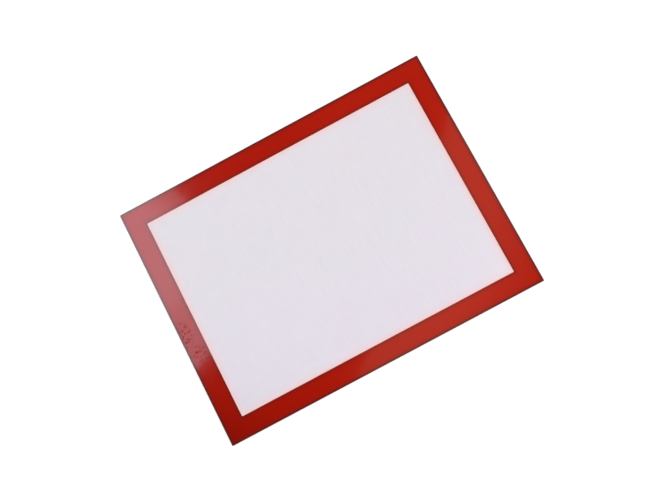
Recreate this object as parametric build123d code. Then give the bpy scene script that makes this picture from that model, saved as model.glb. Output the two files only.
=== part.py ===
"""Silicone baking mat, built as the laminate that the real one is.

A woven glass cloth lies in a poured lower coat of silicone, whose rim closes round the cloth's cut
edge. An upper coat covers the cloth and the rim, and a frame of coloured silicone ink is printed
round the upper face, out to the cut edge.

The origin is the middle of the underside. +X runs along the long side, +Y along the short side and
+Z upwards, out of the printed face. Lengths are in millimetres.
"""
from build123d import *

import os

# Outline of the cut sheet
mat_length = 400.0
mat_width = 305.0
mat_corner_radius = 1.5

# Layers, from the underside upwards
lower_coat_thickness = 0.20
cloth_thickness = 0.30
upper_coat_thickness = 0.20
print_thickness = 0.08

# Silicone beyond the cloth's cut edge, the same on all four sides
sealed_rim_width = 1.6

# Printed frame: its width from the cut edge inwards, and the small radius in its inner corners
border_width = 25.0
border_inner_radius = 1.0

# Rounded edges left by the die on the underside, and by the ink's flow on top
underside_edge_radius = 0.12
print_shoulder_radius = 0.05

# How far a cutting tool runs past the face that it opens
cut_overrun = 1.0

# Heights of the layers' faces
cloth_bottom_z = lower_coat_thickness
cloth_top_z = cloth_bottom_z + cloth_thickness
upper_coat_top_z = cloth_top_z + upper_coat_thickness

# Sizes that follow from the outline
cloth_length = mat_length - 2 * sealed_rim_width
cloth_width = mat_width - 2 * sealed_rim_width
field_length = mat_length - 2 * border_width
field_width = mat_width - 2 * border_width


def sheet_outline(height):
    """Outline of the cut sheet at the given height: a rectangle with small radii at its corners."""
    return Pos(0, 0, height) * RectangleRounded(mat_length, mat_width, mat_corner_radius)


def cloth_outline(height):
    """Outline of the cloth at the given height, cut square, one rim's width inside the sheet."""
    return Pos(0, 0, height) * Rectangle(cloth_length, cloth_width)


def field_outline(height):
    """Outline of the unprinted field inside the printed frame, at the given height."""
    return Pos(0, 0, height) * RectangleRounded(field_length, field_width, border_inner_radius)


def make_lower_coat():
    """Lower coat: a very shallow tray whose rim stands as high as the cloth that lies in it."""
    coat = extrude(sheet_outline(0), cloth_top_z)
    pocket = extrude(cloth_outline(cloth_bottom_z), cloth_thickness + cut_overrun)
    underside = coat.faces().sort_by(Axis.Z)[0]
    return fillet(underside.edges(), underside_edge_radius) - pocket


def make_glass_cloth():
    """Woven glass cloth, as the flat sheet that its yarns fill, seated in the lower coat."""
    return extrude(cloth_outline(cloth_bottom_z), cloth_thickness)


def make_upper_coat():
    """Upper coat: covers the cloth and the rim out to the cut edge."""
    return extrude(sheet_outline(cloth_top_z), upper_coat_thickness)


def make_border_print():
    """Printed frame: one layer of ink with rounded shoulders, from the cut edge to the field."""
    layer = extrude(sheet_outline(upper_coat_top_z), print_thickness)
    window = extrude(field_outline(upper_coat_top_z - cut_overrun), print_thickness + 2 * cut_overrun)
    frame = layer - window
    upper_face = frame.faces().sort_by(Axis.Z)[-1]
    return fillet(upper_face.edges(), print_shoulder_radius)


def make_nodes():
    """Every piece of the mat by its node's name."""
    return {
        "lower_coat": make_lower_coat(),
        "glass_cloth": make_glass_cloth(),
        "upper_coat": make_upper_coat(),
        "border_print": make_border_print(),
    }


def main():
    """Write one STEP file for each piece."""
    os.makedirs("parts", exist_ok=True)
    for name, solid in make_nodes().items():
        solid.label = name
        export_step(solid, f"parts/{name}.step")


main()
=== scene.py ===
"""Looks of the silicone baking mat.

The mat is a thin laminate: a lower coat of silicone with a low rim, a woven glass cloth in it, an
upper coat over both and a red border printed on top. Each layer is a closed shell worked out from
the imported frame's own sizes, and all four follow one gentle lie, the waves that a limp sheet keeps
when it is laid on a table. Lengths are in metres.
"""
import logging
import math
from dataclasses import dataclass
from enum import Enum
from typing import Any, ClassVar

import bpy
import numpy as np
from mathutils import Matrix, Vector


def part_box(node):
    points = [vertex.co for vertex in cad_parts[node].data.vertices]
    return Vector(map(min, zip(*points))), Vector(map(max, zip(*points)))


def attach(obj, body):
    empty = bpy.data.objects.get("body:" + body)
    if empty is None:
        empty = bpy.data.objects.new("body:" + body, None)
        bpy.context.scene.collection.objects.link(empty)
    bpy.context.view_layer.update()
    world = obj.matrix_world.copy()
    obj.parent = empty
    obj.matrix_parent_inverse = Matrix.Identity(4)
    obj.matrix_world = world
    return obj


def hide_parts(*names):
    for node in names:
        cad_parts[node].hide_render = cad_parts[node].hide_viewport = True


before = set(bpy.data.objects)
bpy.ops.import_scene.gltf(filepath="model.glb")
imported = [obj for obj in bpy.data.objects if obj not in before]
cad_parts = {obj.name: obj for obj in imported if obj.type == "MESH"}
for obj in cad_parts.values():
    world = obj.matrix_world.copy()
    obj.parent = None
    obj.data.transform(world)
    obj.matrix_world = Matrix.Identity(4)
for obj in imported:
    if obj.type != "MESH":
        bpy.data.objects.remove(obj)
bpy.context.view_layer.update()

MM = 0.001
PHOTO_WIDTH_PX = 666
SENSOR_MM = 36.0
SILICONE_IOR = 1.41

log = logging.getLogger("baking_mat")

# A colour is red, green and blue. A band is the two ends of a smooth step.
Colour = tuple[float, float, float]
Band = tuple[float, float]
WHITE: Colour = (1.0, 1.0, 1.0)


# Shader maths


class Wire:
    """One output socket of a node, on which arithmetic adds Math nodes."""

    def __init__(self, tree: "Tree", socket: bpy.types.NodeSocket) -> None:
        """Keep the socket and the tree that new nodes go into.

        Args:
            tree: the node tree being written.
            socket: the output socket.
        """
        self.tree = tree
        self.socket = socket

    def math(self, operation: str, *others: "Wire | float") -> "Wire":
        """Add one Math node.

        Args:
            operation: Blender's name of the operation.
            others: the second and third operand, where it has them.

        Returns:
            The node's result.
        """
        inputs = dict(enumerate((self, *others)))
        return self.tree.add("ShaderNodeMath", {"operation": operation}, inputs).out()

    def flipped(self, operation: str, other: float) -> "Wire":
        """Add one Math node whose first operand is a number and whose second is this value."""
        settings = {"operation": operation}
        return self.tree.add("ShaderNodeMath", settings, {0: other, 1: self}).out()

    def __add__(self, other: "Wire | float") -> "Wire":
        """Sum."""
        return self.math("ADD", other)

    def __radd__(self, other: float) -> "Wire":
        """Sum with a number in front."""
        return self.flipped("ADD", other)

    def __sub__(self, other: "Wire | float") -> "Wire":
        """Difference."""
        return self.math("SUBTRACT", other)

    def __rsub__(self, other: float) -> "Wire":
        """Difference with a number in front."""
        return self.flipped("SUBTRACT", other)

    def __mul__(self, other: "Wire | float") -> "Wire":
        """Product."""
        return self.math("MULTIPLY", other)

    def __rmul__(self, other: float) -> "Wire":
        """Product with a number in front."""
        return self.flipped("MULTIPLY", other)

    def __abs__(self) -> "Wire":
        """Size without its sign."""
        return self.math("ABSOLUTE")

    def cosine(self) -> "Wire":
        """Cosine of an angle in radians."""
        return self.math("COSINE")

    def least(self, other: "Wire | float") -> "Wire":
        """Smaller of two values."""
        return self.math("MINIMUM", other)

    def most(self, other: "Wire | float") -> "Wire":
        """Larger of two values."""
        return self.math("MAXIMUM", other)

    def fade(self, reach: float) -> "Wire":
        """Fall from 1 at zero towards 0, as e to the power of minus the value over the reach."""
        return (self * (-1.0 / reach)).math("EXPONENT")

    def clamped(self) -> "Wire":
        """The value, kept from 0 to 1."""
        return self.most(0.0).least(1.0)

    def step(self, low: float, high: float) -> "Wire":
        """Smooth step from 0 at low to 1 at high.

        Args:
            low: the value where the step starts.
            high: the value where it ends; it may be the smaller one.

        Returns:
            The step, from 0 to 1.
        """
        ends = {"Value": self, "From Min": low, "From Max": high}
        return self.tree.add("ShaderNodeMapRange", {"interpolation_type": "SMOOTHSTEP"}, ends).out()


class Node:
    """A node that was added, with its outputs as wires."""

    def __init__(self, tree: "Tree", node: bpy.types.Node) -> None:
        """Keep the node and its tree.

        Args:
            tree: the node tree being written.
            node: the node.
        """
        self.tree = tree
        self.node = node

    def out(self, name: str | int = 0) -> Wire:
        """One output by its name or place."""
        return Wire(self.tree, self.node.outputs[name])


class Tree:
    """A node tree that is being written."""

    def __init__(self, tree: bpy.types.NodeTree) -> None:
        """Empty the tree.

        Args:
            tree: a material's, world's or light's node tree.
        """
        self.tree = tree
        tree.nodes.clear()

    def add(self, kind: str, settings: dict[str, Any] | None = None,
            inputs: dict[str | int, Any] | None = None) -> Node:
        """Add a node of any kind.

        Args:
            kind: the node's type name.
            settings: properties of the node, set before its sockets.
            inputs: a value or a wire for each input, by name or place.

        Returns:
            The node.
        """
        node = self.tree.nodes.new(kind)
        for name, value in (settings or {}).items():
            setattr(node, name, value)
        for name, value in (inputs or {}).items():
            self.feed(node.inputs[name], value)
        return Node(self, node)

    def feed(self, socket: bpy.types.NodeSocket, value: Any) -> None:
        """Set an input socket's value, or link a wire to it.

        Args:
            socket: the input socket.
            value: a wire, a colour, or what the socket's default value takes.
        """
        if isinstance(value, Wire):
            self.tree.links.new(value.socket, socket)
        elif isinstance(value, tuple) and socket.type == "RGBA":
            socket.default_value = (*value, 1.0)
        else:
            socket.default_value = value

    def mix(self, factor: Wire | float, low: Wire | Colour, high: Wire | Colour) -> Wire:
        """Mix two colours.

        The node's sockets share their names between its data types, so the factor, the two colours
        and the result are told by their places.

        Args:
            factor: 0 for the first colour, 1 for the second.
            low: the first colour.
            high: the second colour.

        Returns:
            The mixed colour.
        """
        factor_place, low_place, high_place, result_place = 0, 6, 7, 2
        inputs = {factor_place: factor, low_place: low, high_place: high}
        return self.add("ShaderNodeMix", {"data_type": "RGBA"}, inputs).out(result_place)

    def object_point(self) -> tuple[Wire, Wire, Wire]:
        """Object coordinates, in metres.

        Returns:
            The point as one vector, and its x and y.
        """
        place = self.add("ShaderNodeTexCoord").out("Object")
        parts = self.add("ShaderNodeSeparateXYZ", inputs={0: place})
        return place, parts.out("X"), parts.out("Y")

    def vector(self, operation: str, first: Wire, second: tuple[float, float, float]) -> Node:
        """Add one Vector Math node whose second operand is a constant vector."""
        return self.add("ShaderNodeVectorMath", {"operation": operation}, {0: first, 1: second})

    def length(self, vector: Wire) -> Wire:
        """Length of a vector."""
        return self.add("ShaderNodeVectorMath", {"operation": "LENGTH"}, {0: vector}).out("Value")

    def bump(self, height: Wire, depth: float) -> Wire:
        """Normal of a surface with a relief of the height times the depth in metres."""
        inputs = {"Strength": 1.0, "Distance": depth, "Height": height}
        return self.add("ShaderNodeBump", inputs=inputs).out()

    def upward(self) -> Wire:
        """How far the surface faces up: 1 for a top face, 0 for a wall, -1 for an underside."""
        normal = self.add("ShaderNodeNewGeometry").out("Normal")
        return self.add("ShaderNodeSeparateXYZ", inputs={0: normal}).out("Z")

    def noise(self, place: Wire, size: tuple[float, float, float] | float,
              detail: float = 2.0) -> Wire:
        """Soft noise about zero.

        Args:
            place: where the noise is read.
            size: the length of one swell in metres, the same all ways or along each axis.
            detail: how many finer swells ride on it.

        Returns:
            The noise, mostly between -0.3 and 0.3.
        """
        sizes = size if isinstance(size, tuple) else (size, size, size)
        scaled = self.vector("DIVIDE", place, sizes).out("Vector")
        inputs = {"Vector": scaled, "Scale": 1.0, "Detail": detail}
        return self.add("ShaderNodeTexNoise", inputs=inputs).out(0) - 0.5


# Sizes of the laminate


@dataclass(frozen=True)
class Outline:
    """A rectangle about the origin with rounded corners."""

    half_x: float
    half_y: float
    radius: float

    def inset(self, by: float) -> "Outline":
        """The outline moved inwards, with a corner that never closes up."""
        least_radius = 0.15 * MM
        return Outline(self.half_x - by, self.half_y - by, max(self.radius - by, least_radius))


@dataclass(frozen=True)
class Laminate:
    """Levels and outlines of the layers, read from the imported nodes."""

    sheet: Outline
    field: Outline
    rim_width: float
    cloth_bottom: float
    cloth_top: float
    coat_top: float
    print_top: float
    underside_round: float = 0.12 * MM
    print_round: float = 0.05 * MM

    @classmethod
    def from_frame(cls, border_width: float = 25.0 * MM, corner: float = 1.5 * MM,
                   inner_corner: float = 1.0 * MM) -> "Laminate":
        """Read the laminate's sizes from the boxes of its nodes.

        Args:
            border_width: width of the printed border, which no node's box gives.
            corner: radius of the sheet's corners.
            inner_corner: radius of the corners of the field inside the border.

        Returns:
            The laminate.
        """
        low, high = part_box("lower_coat")
        cloth_low, cloth_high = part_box("glass_cloth")
        sheet = Outline(float(high[0]), float(high[1]), corner)
        inner = Outline(sheet.half_x - border_width, sheet.half_y - border_width, inner_corner)
        return cls(sheet=sheet, field=inner, rim_width=float(high[0] - cloth_high[0]),
                   cloth_bottom=float(cloth_low[2]), cloth_top=float(cloth_high[2]),
                   coat_top=float(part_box("upper_coat")[1][2]),
                   print_top=float(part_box("border_print")[1][2]))


@dataclass(frozen=True)
class Wave:
    """One long wave of the sheet."""

    rise: float
    length: float
    heading_deg: float
    phase_deg: float

    def height(self, x: np.ndarray, y: np.ndarray) -> np.ndarray:
        """Half the rise times one plus the sine of the distance along the wave's heading.

        Args:
            x: the x of each point.
            y: the y of each point.

        Returns:
            The height of each point, from zero to the rise.
        """
        heading = math.radians(self.heading_deg)
        along = x * math.cos(heading) + y * math.sin(heading)
        angle = 2 * math.pi * along / self.length + math.radians(self.phase_deg)
        return 0.5 * self.rise * (1 + np.sin(angle))


@dataclass(frozen=True)
class Lie:
    """How the sheet lies: the sum of a few long waves, nowhere below the table."""

    waves: tuple[Wave, ...] = (
        Wave(rise=0.20 * MM, length=0.21, heading_deg=12, phase_deg=40),
        Wave(rise=0.16 * MM, length=0.15, heading_deg=104, phase_deg=200),
        Wave(rise=0.06 * MM, length=0.083, heading_deg=63, phase_deg=310),
    )

    def height(self, x: np.ndarray, y: np.ndarray) -> np.ndarray:
        """Height of the sheet above its flat lie, at each point of the plan."""
        return sum(wave.height(x, y) for wave in self.waves)


# Mesh surfaces


@dataclass(frozen=True)
class GridSteps:
    """How finely a sheet is divided."""

    along: int = 100
    across: int = 76
    corner: int = 5

    def stations(self, half: float, radius: float, middle: int) -> np.ndarray:
        """Stations from -half to half: even steps, with closer ones over each corner's radius.

        Args:
            half: half of the sheet's size along the axis.
            radius: the corner's radius.
            middle: how many stations there are between the radii.

        Returns:
            The stations.
        """
        start = np.linspace(-half, -half + radius, self.corner, endpoint=False)
        centre = np.linspace(-half + radius, half - radius, middle)
        return np.concatenate([start, centre, -start[::-1]])

    def plan(self, outline: Outline) -> tuple[np.ndarray, np.ndarray]:
        """Points of a grid that fills a rounded rectangle.

        In the square patch at each corner, with u and v from 0 to 1 across it, the point moves to
        u times the root of 1 - v^2/2 and v times the root of 1 - u^2/2, which turns the square into
        a quarter disc and leaves the patch's inner sides where they are.

        Args:
            outline: the rounded rectangle.

        Returns:
            The x and y of every grid point, one row for each station along X.
        """
        radius = outline.radius
        xs = self.stations(outline.half_x, radius, self.along)
        ys = self.stations(outline.half_y, radius, self.across)
        x, y = np.meshgrid(xs, ys, indexing="ij")
        core_x, core_y = outline.half_x - radius, outline.half_y - radius
        u = np.clip((np.abs(x) - core_x) / radius, 0, 1)
        v = np.clip((np.abs(y) - core_y) / radius, 0, 1)
        round_x = np.minimum(np.abs(x), core_x) + radius * u * np.sqrt(1 - v**2 / 2)
        round_y = np.minimum(np.abs(y), core_y) + radius * v * np.sqrt(1 - u**2 / 2)
        return np.sign(x) * round_x, np.sign(y) * round_y


@dataclass(frozen=True)
class Level:
    """One ring of a shell: an outline at a height."""

    outline: Outline
    height: float


def grid_quads(index: np.ndarray) -> np.ndarray:
    """Quads between the neighbours of a grid of vertex numbers, facing the grid's third axis."""
    corners = (index[:-1, :-1], index[1:, :-1], index[1:, 1:], index[:-1, 1:])
    return np.stack(corners, axis=-1).reshape(-1, 4)


def rim_of(grid: np.ndarray) -> np.ndarray:
    """The outer points of a grid in order, anticlockwise from its first corner."""
    return np.concatenate([grid[:-1, 0], grid[-1, :-1], grid[:0:-1, -1], grid[0, :0:-1]])


def loop_quads(rings: np.ndarray) -> np.ndarray:
    """Quads between each ring of vertex numbers and the next, closed round, facing outwards.

    Args:
        rings: one row of vertex numbers for each ring, anticlockwise, from the lowest up.

    Returns:
        The quads.
    """
    turned = np.roll(rings, -1, axis=1)
    corners = (rings[:-1], turned[:-1], turned[1:], rings[1:])
    return np.stack(corners, axis=-1).reshape(-1, 4)


def shell_surface(levels: list[Level], steps: GridSteps) -> tuple[np.ndarray, np.ndarray]:
    """A closed sheet: a full grid at the first level and the last, and a wall through the rest.

    Args:
        levels: from the lower face, round the edge, to the upper face.
        steps: the grid's divisions, the same at every level.

    Returns:
        The points and the quads.
    """
    plans = [np.stack(steps.plan(level.outline), axis=-1) for level in levels]
    heights = [np.full(plan.shape[:2] + (1,), level.height) for plan, level in zip(plans, levels)]
    grids = [np.concatenate([plan, z], axis=-1) for plan, z in zip(plans, heights)]
    count = grids[0].shape[0] * grids[0].shape[1]
    lower = np.arange(count).reshape(grids[0].shape[:2])
    upper = lower + count
    rings = [rim_of(grid) for grid in grids[1:-1]]
    ring_size = len(rim_of(lower))
    walls = 2 * count + np.arange(len(rings) * ring_size).reshape(len(rings), ring_size)
    order = np.concatenate([rim_of(lower)[None], walls, rim_of(upper)[None]])
    points = np.concatenate([grids[0].reshape(-1, 3), grids[-1].reshape(-1, 3), *rings])
    quads = np.concatenate([grid_quads(lower)[:, ::-1], grid_quads(upper), loop_quads(order)])
    return points, quads


def quarter_round(radius: float, steps: int = 4) -> tuple[np.ndarray, np.ndarray]:
    """Inset and height of points on a quarter circle from a face to a wall.

    Args:
        radius: the radius of the rounding.
        steps: how many points there are.

    Returns:
        The inset from the wall, r(1 - sin a), and the distance from the face, r(1 - cos a).
    """
    angle = np.linspace(0, math.pi / 2, steps)
    return radius * (1 - np.sin(angle)), radius * (1 - np.cos(angle))


@dataclass(frozen=True)
class Layer:
    """A layer of the laminate that becomes one piece."""

    laminate: Laminate
    steps: GridSteps
    name: ClassVar[str]
    node: ClassVar[str]
    slot: ClassVar[str]
    crease_deg: ClassVar[float] = 40.0

    def surface(self) -> tuple[np.ndarray, np.ndarray]:
        """Points and quads of the layer as it lies flat."""
        raise NotImplementedError

    def finish(self) -> bpy.types.Material:
        """The layer's material."""
        raise NotImplementedError

    def make(self, lie: Lie) -> bpy.types.Object:
        """Make the piece's mesh, lay it on the sheet's waves and let it stand for its node.

        Args:
            lie: the waves of the sheet.

        Returns:
            The piece.
        """
        points, quads = self.surface()
        points[:, 2] += lie.height(points[:, 0], points[:, 1])
        mesh = bpy.data.meshes.new(self.name)
        mesh.from_pydata(points, [], quads)
        mesh.polygons.foreach_set("use_smooth", np.ones(len(quads), dtype=bool))
        mesh.set_sharp_from_angle(angle=math.radians(self.crease_deg))
        mesh.validate()
        mesh.materials.append(self.finish())
        piece = bpy.data.objects.new(self.name, mesh)
        bpy.context.scene.collection.objects.link(piece)
        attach(piece, "root")
        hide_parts(self.node)
        log.info("%s: %d faces", self.name, len(quads))
        return piece


# Finishes


@dataclass(frozen=True)
class Swell:
    """Soft noise of one size and strength."""

    size: float
    strength: float
    detail: float = 2.0

    def level(self, tree: Tree, place: Wire) -> Wire:
        """The noise at a place: about zero, mostly within a third of the strength."""
        return tree.noise(place, self.size, self.detail) * self.strength


@dataclass(frozen=True)
class Threads:
    """What the weave gives at a point, each as a wire."""

    relief: Wire
    gap: Wire
    slubs: Wire


@dataclass(frozen=True)
class Weave:
    """The glass cloth's plain weave, as it shows in the silicone over it."""

    pitch_x: float = 1.15 * MM
    pitch_y: float = 1.05 * MM
    sway: Swell = Swell(size=45 * MM, strength=0.5 * MM, detail=1.0)
    slub_length: float = 30 * MM
    gap_rim: Band = (0.38, 0.66)

    def threads(self, tree: Tree, place: Wire, x: Wire, y: Wire) -> Threads:
        """Pattern of the two sets of yarns.

        With a and b the cosines of pi x / pitch and pi y / pitch, a yarn along Y has the height
        a^2 (1 + ab) / 2 and one along X the height b^2 (1 - ab) / 2, so that each passes over one
        and under the next. The higher one shows. A hole of the cloth is where both |a| and |b| are
        small.

        Args:
            tree: the node tree being written.
            place: the point.
            x: the place along X.
            y: the place along Y.

        Returns:
            The relief from 0 to 1, the holes from 0 to 1, and the uneven thickness of single yarns,
            about zero.
        """
        sway = self.sway.level(tree, place)
        a = ((x + sway) * (math.pi / self.pitch_x)).cosine()
        b = ((y + sway) * (math.pi / self.pitch_y)).cosine()
        over = a * b * 0.5
        relief = (a * a * (0.5 + over)).most(b * b * (0.5 - over))
        gap = (1 - abs(a)).step(*self.gap_rim) * (1 - abs(b)).step(*self.gap_rim)
        along_x = tree.noise(place, (self.slub_length, self.pitch_y, 1.0), detail=1.0)
        along_y = tree.noise(place, (self.pitch_x, self.slub_length, 1.0), detail=1.0)
        return Threads(relief, gap, along_x + along_y)


@dataclass(frozen=True)
class Spot:
    """An oval spot on the mat, with a soft rim whose places are shares of the reach."""

    x: float
    y: float
    reach_x: float
    reach_y: float
    rim: Band = (1.1, 0.6)

    def level(self, tree: Tree, place: Wire) -> Wire:
        """Tell the inside of the spot.

        Args:
            tree: the node tree being written.
            place: the point.

        Returns:
            1 inside the spot and 0 outside it.
        """
        off = tree.vector("SUBTRACT", place, (self.x, self.y, 0.0)).out("Vector")
        off = tree.vector("DIVIDE", off, (self.reach_x, self.reach_y, 1.0)).out("Vector")
        return tree.length(off).step(*self.rim)


@dataclass(frozen=True)
class RedInk:
    """Glossy opaque red silicone ink, screen printed."""

    laminate: Laminate
    weave: Weave = Weave()
    red: Colour = (0.405, 0.0078, 0.0012)
    # painted light: a lighter red towards the +x, -y side, where the key lamp stands
    key_side_lit_red: Colour = (0.430, 0.0105, 0.0022)
    key_side_light_band: Band = (-0.04, 0.06)
    key_side_light_lean: float = 0.3
    # painted shade: the red turns darker towards the -x, -y corner; the ink's random drift mixes
    # towards the same colour
    dense_red_and_corner_shade: Colour = (0.245, 0.0030, 0.0001)
    corner_shade_reach_x: float = 73.9 * MM
    corner_shade_reach_y: float = 106.25 * MM
    drift: Swell = Swell(size=160 * MM, strength=0.3, detail=1.0)
    mottle: Swell = Swell(size=2.2 * MM, strength=0.14, detail=3.0)
    # painted shade: a dark line along both edges of the print, strongest at the cut edge
    edge_shade_red: Colour = (0.060, 0.0120, 0.0090)
    edge_shade_reach: float = 1.7 * MM
    cut_edge_shade_share: float = 1.7
    trimmed_red: Colour = (0.80, 0.36, 0.32)
    trimmed_band: Band = (0.45 * MM, 0.135 * MM)
    speck_red: Colour = (0.100, 0.0020, 0.0010)
    speck_spacing: float = 9 * MM
    speck_band: Band = (0.05, 0.02)
    speck_share: float = 0.5
    rubbed_red: Colour = (0.200, 0.0050, 0.0020)
    rubbed_share: float = 0.5
    rubbed_spots: tuple[Spot, Spot] = (Spot(x=-0.1925, y=-0.013, reach_x=0.009, reach_y=0.019),
                                       Spot(x=-0.186, y=-0.042, reach_x=0.010, reach_y=0.013))
    rub_size: float = 2.6 * MM
    rub_band: Band = (-0.02, 0.12)
    gloss: float = 0.27
    roughness: float = 0.10
    haze: Swell = Swell(size=14 * MM, strength=0.06)
    rubbed_roughness: float = 0.16
    skin: float = 0.62
    rubbed_skin: float = 0.55
    skin_roughness: float = 0.045
    ripple: Swell = Swell(size=3.5 * MM, strength=0.7)
    print_through: float = 0.14
    relief_depth: float = 0.012 * MM

    def colour(self, tree: Tree, place: Wire, x: Wire, y: Wire, wear: Wire) -> Wire:
        """Red whose density drifts, with fine specks and painted shade along the print's edges.

        The red has painted light on the key lamp's side, painted shade towards one corner, and is
        pale where it was trimmed.

        Args:
            tree: the node tree being written.
            place: the point.
            x: the place along X.
            y: the place along Y.
            wear: 1 where the ink is rubbed.

        Returns:
            The colour.
        """
        sheet, inner = self.laminate.sheet, self.laminate.field
        to_cut = (sheet.half_x - abs(x)).least(sheet.half_y - abs(y)).most(0.0)
        to_field = (abs(x) - inner.half_x).most(abs(y) - inner.half_y).most(0.0)
        # painted shade along the cut edge and along the field's edge
        cut_edge_shade = to_cut.fade(self.edge_shade_reach) * self.cut_edge_shade_share
        edge = cut_edge_shade.most(to_field.fade(self.edge_shade_reach))
        # painted shade towards the -x, -y corner, plus the ink's real random drift and mottle
        corner_shade_x = (x + sheet.half_x).most(0.0).fade(self.corner_shade_reach_x)
        corner_shade_y = (y + sheet.half_y).most(0.0).fade(self.corner_shade_reach_y)
        depth = corner_shade_x * corner_shade_y + self.drift.level(tree, place) + self.mottle.level(tree, place)
        # painted light: the red turns lighter towards the key lamp's side
        key_side_light = (x - y * self.key_side_light_lean).step(*self.key_side_light_band)
        red_with_side_light = tree.mix(key_side_light, self.red, self.key_side_lit_red)
        colour = tree.mix(depth.clamped(), red_with_side_light, self.dense_red_and_corner_shade)
        colour = tree.mix(wear * self.rubbed_share, colour, self.rubbed_red)
        colour = tree.mix(edge.least(1.0), colour, self.edge_shade_red)
        colour = tree.mix(to_cut.step(*self.trimmed_band), colour, self.trimmed_red)
        cells = {"Vector": place, "Scale": 1 / self.speck_spacing}
        to_speck = tree.add("ShaderNodeTexVoronoi", {"feature": "F1"}, cells).out("Distance")
        specks = to_speck.step(*self.speck_band) * self.speck_share
        return tree.mix(specks, colour, self.speck_red)

    def wear(self, tree: Tree, place: Wire) -> Wire:
        """Fine dull mottles on the two rubbed spots.

        Args:
            tree: the node tree being written.
            place: the point.

        Returns:
            1 on a mottle and 0 elsewhere.
        """
        first, second = (spot.level(tree, place) for spot in self.rubbed_spots)
        mottles = tree.noise(place, self.rub_size, detail=3.0).step(*self.rub_band)
        return mottles * first.most(second)

    def material(self) -> bpy.types.Material:
        """Build the ink: a soft lobe under a glossy skin, with faint print-through of the weave.

        Returns:
            The material.
        """
        material, tree = new_material("red_silicone_ink")
        place, x, y = tree.object_point()
        threads = self.weave.threads(tree, place, x, y)
        wear = self.wear(tree, place)
        relief = threads.relief * self.print_through + self.ripple.level(tree, place)
        rough = self.roughness + self.haze.level(tree, place) + wear * self.rubbed_roughness
        shader = tree.add("ShaderNodeBsdfPrincipled", inputs={
            "Base Color": self.colour(tree, place, x, y, wear), "Roughness": rough,
            "IOR": SILICONE_IOR, "Specular IOR Level": self.gloss,
            "Coat Weight": self.skin - wear * self.rubbed_skin, "Coat IOR": SILICONE_IOR,
            "Coat Roughness": self.skin_roughness,
            "Normal": tree.bump(relief, self.relief_depth)})
        finish_material(tree, shader)
        return material


class Face(Enum):
    """Which face of the mat a silicone coat shows."""

    UPPER = "upper"
    LOWER = "lower"


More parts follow.
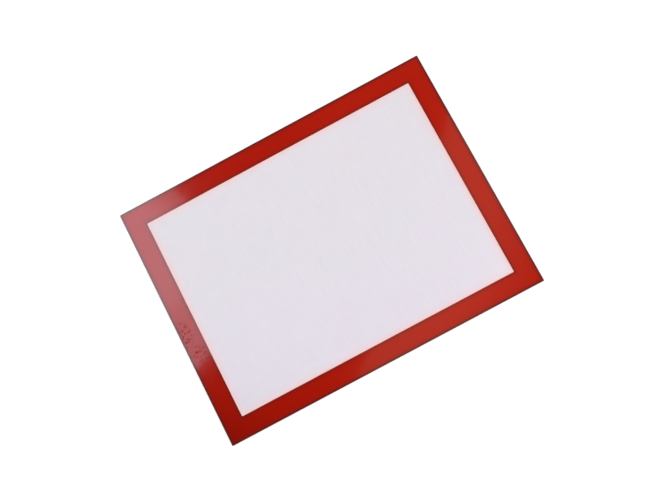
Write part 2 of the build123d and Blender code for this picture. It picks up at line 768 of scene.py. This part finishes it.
@dataclass(frozen=True)
class MilkySilicone:
    """Satin translucent silicone over white glass cloth."""

    laminate: Laminate
    face: Face
    weave: Weave = Weave()
    milk: Colour = (0.798, 0.729, 0.776)
    lilac_milk: Colour = (0.803, 0.729, 0.818)
    lilac_band: Band = (0.10, -0.10)
    cool_milk: Colour = (0.775, 0.748, 0.780)
    cloud: Swell = Swell(size=60 * MM, strength=1.6, detail=1.0)
    cloud_middle: float = 0.4
    hole: Colour = (0.560, 0.515, 0.560)
    gap_share: float = 0.4
    valley_share: float = 0.20
    slub_share: float = 0.25
    # painted shade towards the -x, -y corner and painted light towards the +x, -y corner
    shaded: Colour = (0.62, 0.565, 0.65)
    bright: Colour = (0.880, 0.750, 0.860)
    corner_reach: float = 50 * MM
    # painted light: a pink glow in the field beside the border, as if red light scattered from the
    # ink
    glow: Colour = (0.97, 0.545, 0.52)
    painted_glow_reach: float = 2.8 * MM
    seen_through: Colour = (0.47, 0.130, 0.130)
    print_blur: float = 0.8 * MM
    print_seen: float = 0.80
    print_in_gaps: float = 0.3
    wall: Colour = (0.80, 0.66, 0.64)
    wall_band: Band = (0.5, 0.9)
    roughness: float = 0.50
    satin: Swell = Swell(size=50 * MM, strength=0.12)
    crown_polish: float = 0.06
    relief_depth: float = 0.065 * MM
    slub_relief: float = 0.5
    grain: Swell = Swell(size=0.4 * MM, strength=0.35)

    def woven(self, tree: Tree, place: Wire, y: Wire, threads: Threads) -> Wire:
        """Cloudy milky white with the cloth's valleys and holes in it.

        Args:
            tree: the node tree being written.
            place: the point.
            y: the place along Y.
            threads: the weave at the point.

        Returns:
            The colour.
        """
        milk = tree.mix(y.step(*self.lilac_band), self.milk, self.lilac_milk)
        cloud = self.cloud.level(tree, place) + self.cloud_middle
        milk = tree.mix(cloud.clamped(), milk, self.cool_milk)
        holes = (threads.gap * self.gap_share + (1 - threads.relief) * self.valley_share
                 + threads.slubs * self.slub_share)
        return tree.mix(holes.most(0.0), milk, self.hole)

    def colour(self, tree: Tree, place: Wire, x: Wire, y: Wire, threads: Threads) -> Wire:
        """Milky white with the cloth in it: on top, painted shade and light towards two corners
        and a painted pink glow beside the border; below, the border's red behind.

        Args:
            tree: the node tree being written.
            place: the point.
            x: the place along X.
            y: the place along Y.
            threads: the weave at the point.

        Returns:
            The colour.
        """
        sheet, inner = self.laminate.sheet, self.laminate.field
        beyond = (abs(x) - inner.half_x).most(abs(y) - inner.half_y)
        woven = self.woven(tree, place, y, threads)
        if self.face is Face.UPPER:
            # painted shade towards the -x, -y corner, then painted light towards the +x, -y corner
            low_y = (y + sheet.half_y).most(0.0)
            near = (x + sheet.half_x).most(0.0) + low_y
            woven = tree.mix(near.fade(self.corner_reach), woven, self.shaded)
            far = (sheet.half_x - x).most(0.0) + low_y
            woven = tree.mix(far.fade(self.corner_reach), woven, self.bright)
            # painted light: a pink glow in the field beside the border
            tint = (beyond * -1.0).most(0.0).fade(self.painted_glow_reach)
            flat = tree.mix(tint, woven, self.glow)
        else:
            behind = beyond.step(-self.print_blur, self.print_blur)
            behind = behind * (self.print_seen + threads.gap * self.print_in_gaps)
            flat = tree.mix(behind.least(1.0), woven, self.seen_through)
        return tree.mix(abs(tree.upward()).step(*self.wall_band), self.wall, flat)

    def material(self) -> bpy.types.Material:
        """Build the silicone.

        Returns:
            The material.
        """
        material, tree = new_material(f"milky_silicone_{self.face.value}")
        place, x, y = tree.object_point()
        threads = self.weave.threads(tree, place, x, y)
        relief = threads.relief + threads.slubs * self.slub_relief + self.grain.level(tree, place)
        rough = self.roughness + self.satin.level(tree, place) - threads.relief * self.crown_polish
        shader = tree.add("ShaderNodeBsdfPrincipled", inputs={
            "Base Color": self.colour(tree, place, x, y, threads), "Roughness": rough,
            "IOR": SILICONE_IOR, "Normal": tree.bump(relief, self.relief_depth)})
        finish_material(tree, shader)
        return material


@dataclass(frozen=True)
class GlassYarn:
    """White glass yarns in a plain weave."""

    weave: Weave = Weave()
    crown: Colour = (0.86, 0.86, 0.84)
    hole: Colour = (0.50, 0.51, 0.51)
    relief_depth: float = 0.1 * MM
    filament_size: float = 0.12 * MM
    filament_relief: float = 0.2
    roughness: float = 0.45
    filament_roughness: float = 0.2

    def material(self) -> bpy.types.Material:
        """Build the cloth: bright crowns, darker holes and fine filaments.

        Returns:
            The material.
        """
        material, tree = new_material("glass_cloth")
        place, x, y = tree.object_point()
        threads = self.weave.threads(tree, place, x, y)
        filaments = tree.noise(place, self.filament_size)
        relief = threads.relief + filaments * self.filament_relief
        shader = tree.add("ShaderNodeBsdfPrincipled", inputs={
            "Base Color": tree.mix(threads.gap, self.crown, self.hole),
            "Roughness": self.roughness + filaments * self.filament_roughness,
            "Normal": tree.bump(relief, self.relief_depth)})
        finish_material(tree, shader)
        return material


def new_material(name: str) -> tuple[bpy.types.Material, Tree]:
    """Make an empty node material.

    Args:
        name: the material's name.

    Returns:
        The material and its tree.
    """
    material = bpy.data.materials.new(name)
    material.use_nodes = True
    return material, Tree(material.node_tree)


def finish_material(tree: Tree, shader: Node) -> None:
    """Link a shader to the material's output."""
    tree.add("ShaderNodeOutputMaterial", inputs={"Surface": shader.out()})


# The four layers


@dataclass(frozen=True)
class LowerCoat(Layer):
    """The lower coat: a very shallow tray with a rounded lower edge."""

    name: ClassVar[str] = "lower_coat_tray"
    node: ClassVar[str] = "lower_coat"
    slot: ClassVar[str] = "clear_silicone"

    def levels(self) -> list[Level]:
        """Rings of the tray.

        Returns:
            The levels from the underside, round the cut edge, over the rim and down to the floor.
        """
        sizes = self.laminate
        insets, heights = quarter_round(sizes.underside_round)
        edge = [Level(sizes.sheet.inset(i), h) for i, h in zip(insets, heights)]
        rim = sizes.sheet.inset(sizes.rim_width)
        return [*edge, Level(sizes.sheet, sizes.cloth_top), Level(rim, sizes.cloth_top),
                Level(rim, sizes.cloth_bottom)]

    def surface(self) -> tuple[np.ndarray, np.ndarray]:
        """Points and quads of the tray."""
        return shell_surface(self.levels(), self.steps)

    def finish(self) -> bpy.types.Material:
        """Silicone as it shows from below."""
        return MilkySilicone(self.laminate, Face.LOWER).material()


@dataclass(frozen=True)
class GlassCloth(Layer):
    """The woven glass cloth in the lower coat's tray."""

    name: ClassVar[str] = "glass_cloth_weave"
    node: ClassVar[str] = "glass_cloth"
    slot: ClassVar[str] = "glass_cloth"

    def surface(self) -> tuple[np.ndarray, np.ndarray]:
        """Shape the cloth, one rim's width inside the sheet.

        Returns:
            The points and the quads.
        """
        sizes = self.laminate
        cut = sizes.sheet.inset(sizes.rim_width)
        levels = [Level(cut, sizes.cloth_bottom), Level(cut, sizes.cloth_top)]
        return shell_surface(levels, self.steps)

    def finish(self) -> bpy.types.Material:
        """Bare glass yarns."""
        return GlassYarn().material()


@dataclass(frozen=True)
class UpperCoat(Layer):
    """The upper coat: a plain thin sheet out to the cut edge."""

    name: ClassVar[str] = "upper_coat_sheet"
    node: ClassVar[str] = "upper_coat"
    slot: ClassVar[str] = "clear_silicone"

    def surface(self) -> tuple[np.ndarray, np.ndarray]:
        """Shape the coat.

        Returns:
            The points and the quads.
        """
        sizes = self.laminate
        levels = [Level(sizes.sheet, sizes.cloth_top), Level(sizes.sheet, sizes.coat_top)]
        return shell_surface(levels, self.steps)

    def finish(self) -> bpy.types.Material:
        """Silicone as it shows from above."""
        return MilkySilicone(self.laminate, Face.UPPER).material()


@dataclass(frozen=True)
class InkSection:
    """Section of the printed border: a flat layer with rounded shoulders and a low edge bead."""

    bead_rise: float = 0.012 * MM
    bead_width: float = 1.1 * MM
    bead_shares: tuple[float, ...] = (0.25, 0.6, 1.0, 1.6, 2.4)
    crossings: int = 9

    def points(self, sizes: Laminate) -> tuple[np.ndarray, np.ndarray]:
        """Share of the border's width, and height, round the section.

        The top sinks from the beads by bead_rise times 1 - e^-(d/w)^2, with d the distance to the
        nearer edge and w the bead's width. The shoulders are quarter circles.

        Args:
            sizes: the laminate.

        Returns:
            The distance from the cut edge as a share of the border's width, and the height, in
            order along the underside, up the inner edge, over the top and down the outer edge.
        """
        width = sizes.sheet.half_x - sizes.field.half_x
        inset, drop = quarter_round(sizes.print_round)
        beads = np.array(self.bead_shares) * self.bead_width
        middle = np.linspace(beads[-1], width - beads[-1], self.crossings)[1:-1]
        across = np.concatenate([beads, middle, width - beads[::-1]])
        near = np.minimum(across, width - across)
        top = sizes.print_top - self.bead_rise * (1 - np.exp(-(near / self.bead_width) ** 2))
        base = np.linspace(0, width, self.crossings)
        s = np.concatenate([base, width - inset[::-1], across[::-1], inset])
        z = np.concatenate([np.full(len(base), sizes.coat_top), sizes.print_top - drop[::-1],
                            top[::-1], sizes.print_top - drop])
        return s / width, z


@dataclass(frozen=True)
class PrintedBorder(Layer):
    """The printed frame: its section carried round the sheet's edge."""

    section: InkSection = InkSection()
    name: ClassVar[str] = "border_print_layer"
    node: ClassVar[str] = "border_print"
    slot: ClassVar[str] = "red_silicone_ink"

    def surface(self) -> tuple[np.ndarray, np.ndarray]:
        """Carry the section along the path.

        The path is the cut edge, and its partner the field's edge: each point of the section lies
        between the two at its share of the width, so the corners are mitred.

        Returns:
            The points and the quads.
        """
        outer = rim_of(np.stack(self.steps.plan(self.laminate.sheet), axis=-1))
        inner = rim_of(np.stack(self.steps.plan(self.laminate.field), axis=-1))
        share, z = self.section.points(self.laminate)
        plan = outer[None] + share[:, None, None] * (inner - outer)[None]
        heights = np.broadcast_to(z[:, None, None], plan.shape[:2] + (1,))
        points = np.concatenate([plan, heights], axis=-1)
        index = np.arange(points.shape[0] * points.shape[1]).reshape(points.shape[:2])
        rings = np.concatenate([index, index[:1]])
        return points.reshape(-1, 3), loop_quads(rings)[:, ::-1]

    def finish(self) -> bpy.types.Material:
        """The red ink."""
        return RedInk(self.laminate).material()


@dataclass(frozen=True)
class BakingMat:
    """The whole mat: its sizes, how it lies and how finely it is divided."""

    laminate: Laminate
    lie: Lie = Lie()
    steps: GridSteps = GridSteps()

    def make(self) -> None:
        kinds = (LowerCoat, GlassCloth, UpperCoat, PrintedBorder)
        layers = [kind(self.laminate, self.steps) for kind in kinds]
        lower, cloth, upper, border = [layer.make(self.lie) for layer in layers]
        sheet = self.laminate.sheet
        cut = (2 * sheet.half_x, 2 * sheet.half_y)
        core = sheet.inset(self.laminate.rim_width)
        2 * core.half_x
        2 * core.half_y


# Studio


@dataclass(frozen=True)
class Rim:
    """A dimmer strip of a lamp: its share of the full radiance, and where it starts to rise.

    The places are distances from one of the lamp's sides, or from the nearer of two opposite ones.
    The share holds up to the first, and the radiance is full from the second on, which may be the
    smaller.
    """

    share: float
    start: float
    end: float
    both_sides: bool = False

    def level(self, along: Wire, side: float) -> Wire:
        """Work out the radiance across the lamp.

        Args:
            along: the place, as a share of the lamp's side.
            side: the length of that side.

        Returns:
            The share of the full radiance.
        """
        place = along.least(1 - along) if self.both_sides else along
        rise = place.step(self.start / side, self.end / side)
        return self.share + rise * (1.0 - self.share)


EVEN = Rim(share=1.0, start=0.0, end=0.01)


@dataclass(frozen=True)
class Softbox:
    """A rectangular lamp, which may be dimmer towards its sides."""

    name: str
    place: Vector
    aim: Vector
    turn_deg: float
    size: tuple[float, float]
    radiance: float
    tint: Colour = WHITE
    rims: tuple[Rim, Rim] = (EVEN, EVEN)

    def light(self) -> None:
        """Make the lamp, with the power that gives its face the stated radiance.

        A lamp's face of area A and power P has the radiance P / (pi A), where a white sheet under
        an even sky of radiance 1 renders as 1.
        """
        data = bpy.data.lights.new(self.name, "AREA")
        data.shape = "RECTANGLE"
        data.size, data.size_y = self.size
        data.energy = self.radiance * math.pi * self.size[0] * self.size[1]
        data.color = self.tint
        data.use_nodes = True
        tree = Tree(data.node_tree)
        face = tree.add("ShaderNodeNewGeometry").out("Parametric")
        parts = tree.add("ShaderNodeSeparateXYZ", inputs={0: face})
        along, across = self.rims
        strength = (along.level(parts.out("X"), self.size[0])
                    * across.level(parts.out("Y"), self.size[1]))
        light = tree.add("ShaderNodeEmission", inputs={"Color": WHITE, "Strength": strength})
        tree.add("ShaderNodeOutputLight", inputs={"Surface": light.out()})
        lamp = bpy.data.objects.new(self.name, data)
        facing = (self.aim - self.place).to_track_quat("-Z", "Y").to_matrix().to_4x4()
        turn = Matrix.Rotation(math.radians(self.turn_deg), 4, "Z")
        lamp.matrix_world = Matrix.Translation(self.place) @ facing @ turn
        bpy.context.scene.collection.objects.link(lamp)
        log.info("%s: radiance %.2f", self.name, self.radiance)


@dataclass(frozen=True)
class Glare:
    """An overhead softbox, told by the bright patch that the camera sees mirrored in the mat.

    The patch has a corner on the mat's plane, runs from there along the heading and lies to the
    left of that line. The size is the softbox's own.
    """

    name: str
    corner: tuple[float, float]
    heading_deg: float
    size: tuple[float, float]
    radiance: float
    tint: Colour
    rims: tuple[Rim, Rim]

    def softbox(self, eye: Vector, height: float) -> Softbox:
        """Place the softbox that makes the patch.

        The eye sees a point of the mat mirror the point of the lamp's plane that lies further along
        the line from the eye's mirror image: with h the plane's height over the eye's, that is the
        mat's point times 1 + h, less the eye's plan times h.

        Args:
            eye: the camera's place.
            height: the height of the lamp's plane.

        Returns:
            The softbox, which faces straight down.
        """
        share = height / eye.z
        corner = Vector(self.corner) * (1 + share) - eye.xy * share
        middle = Vector(self.size) / 2
        middle.rotate(Matrix.Rotation(math.radians(self.heading_deg), 2))
        place = (corner + middle).to_3d() + Vector((0, 0, height))
        return Softbox(self.name, place, place - Vector((0, 0, 1)), self.heading_deg, self.size,
                       self.radiance, self.tint, self.rims)


@dataclass(frozen=True)
class Studio:
    """Floor, sky, lamps and camera.

    The eye, the aim, the picture's up and the focal length come from the photo's outline of the
    mat, taken as a flat rectangle seen by a pinhole camera.
    """

    eye: tuple[float, float, float] = (0.04418, -0.28568, 1.34177)
    aim: tuple[float, float, float] = (0.00523, -0.00637, 0.0)
    picture_up_deg: float = 62.58
    focal_px: float = 1184.7
    near_clip: float = 10 * MM
    floor_half: float = 4.0
    floor_grey: Colour = (0.62, 0.62, 0.62)
    floor_glow: float = 0.40
    floor_band: Band = (0.45, 1.1)
    open_band: Band = (3.0 * MM, 2.0 * MM)
    zenith: float = 0.04
    upper: float = 1.20
    horizon: float = 0.20
    below: float = 0.85
    below_slope: float = 0.25
    upper_band: Band = (0.38, 0.68)
    zenith_band: Band = (0.80, 0.97)
    below_band: Band = (0.0, -0.1)
    lamp_height: float = 1.6
    glares: tuple[Glare, ...] = (
        Glare("window_softbox", corner=(-0.0588, 0.0248), heading_deg=118.0, size=(1.0, 0.60),
              radiance=4.25, tint=(0.88, 1.02, 1.15),
              rims=(Rim(share=0.74, start=0.08, end=0.15), Rim(share=0.54, start=0.0, end=0.08))),
        Glare("warm_panel", corner=(0.256, 0.133), heading_deg=223.7, size=(1.07, 0.34),
              radiance=0.85, tint=(1.0, 0.74, 0.56),
              rims=(EVEN, Rim(share=0.3, start=0.34, end=0.16))),
    )
    key_place: tuple[float, float, float] = (1.30, -0.70, 1.30)
    key_side: float = 1.6
    key_radiance: float = 3.2
    key_rim: Rim = Rim(share=0.1, start=0.0, end=0.5, both_sides=True)

    def make_floor(self) -> None:
        """Lay a white floor that keeps shadows and is open from below.

        The floor is seen partly by its own light, so that it reads white to the camera. A ray that
        leaves the mat's underside meets the floor within a few millimetres, and passes it, as does
        the camera's view from below.
        """
        mesh = bpy.data.meshes.new("floor")
        half = self.floor_half
        corners = [(-half, -half, 0), (half, -half, 0), (half, half, 0), (-half, half, 0)]
        mesh.from_pydata(corners, [], [(0, 1, 2, 3)])
        floor = bpy.data.objects.new("floor", mesh)
        bpy.context.scene.collection.objects.link(floor)
        material, tree = new_material("white_floor")
        path = tree.add("ShaderNodeLightPath")
        seen = path.out("Is Camera Ray").most(path.out("Is Glossy Ray"))
        seen = seen.most(path.out("Is Transmission Ray"))
        diffuse = tree.add("ShaderNodeBsdfDiffuse", inputs={"Color": self.floor_grey})
        glow = {"Color": WHITE, "Strength": seen * self.floor_glow}
        light = tree.add("ShaderNodeEmission", inputs=glow)
        near = tree.add("ShaderNodeAddShader", inputs={0: diffuse.out(), 1: light.out()})
        far = tree.add("ShaderNodeEmission", inputs={"Color": WHITE})
        place = tree.add("ShaderNodeTexCoord").out("Object")
        white = tree.add("ShaderNodeMixShader", inputs={
            0: tree.length(place).step(*self.floor_band) * seen, 1: near.out(), 2: far.out()})
        back = tree.add("ShaderNodeNewGeometry").out("Backfacing")
        close = path.out("Ray Length").step(*self.open_band) * (1 - path.out("Is Camera Ray"))
        clear = tree.add("ShaderNodeBsdfTransparent")
        finish_material(tree, tree.add("ShaderNodeMixShader", inputs={
            0: back.most(close), 1: white.out(), 2: clear.out()}))
        mesh.materials.append(material)

    def make_sky(self) -> None:
        """Light the room: pale round the horizon, darker overhead, white where the camera looks."""
        world = bpy.data.worlds.new("studio")
        bpy.context.scene.world = world
        world.use_nodes = True
        tree = Tree(world.node_tree)
        path = tree.add("ShaderNodeLightPath")
        facing = tree.add("ShaderNodeTexCoord").out("Generated")
        parts = tree.add("ShaderNodeSeparateXYZ", inputs={0: facing})
        up = parts.out("Z")
        room = self.horizon + up.step(*self.upper_band) * (self.upper - self.horizon)
        room = room + up.step(*self.zenith_band) * (self.zenith - room)
        under = self.below + parts.out("X") * self.below_slope
        room = room + up.step(*self.below_band) * (under - room)
        camera = path.out("Is Camera Ray")
        strength = room + (1 - room) * camera
        sky = tree.add("ShaderNodeBackground", inputs={"Color": WHITE, "Strength": strength})
        tree.add("ShaderNodeOutputWorld", inputs={"Surface": sky.out()})

    def make_camera(self) -> None:
        """Place the camera at the eye, looking at the aim, with the picture's up as stated."""
        data = bpy.data.cameras.new("camera")
        data.sensor_width = SENSOR_MM
        data.lens = self.focal_px / PHOTO_WIDTH_PX * SENSOR_MM
        data.clip_start = self.near_clip
        camera = bpy.data.objects.new("camera", data)
        back = (Vector(self.eye) - Vector(self.aim)).normalized()
        heading = math.radians(self.picture_up_deg)
        right = Vector((math.cos(heading), math.sin(heading), 0)).cross(back).normalized()
        axes = Matrix((right, back.cross(right), back)).transposed().to_4x4()
        camera.matrix_world = Matrix.Translation(self.eye) @ axes
        bpy.context.scene.collection.objects.link(camera)
        bpy.context.scene.camera = camera

    def make(self) -> None:
        """Build the studio."""
        bpy.context.scene.view_settings.view_transform = "Standard"
        self.make_floor()
        self.make_sky()
        for glare in self.glares:
            glare.softbox(Vector(self.eye), self.lamp_height).light()
        place = Vector(self.key_place)
        Softbox("key_softbox", place, Vector((0, 0, 0)), 0.0, (self.key_side, self.key_side),
                self.key_radiance, rims=(self.key_rim, self.key_rim)).light()
        self.make_camera()


def main() -> None:
    """Build the mat and the studio."""
    logging.basicConfig(level=logging.INFO, format="%(name)s: %(message)s")
    BakingMat(Laminate.from_frame()).make()
    Studio().make()


if __name__ == "__main__":
    main()
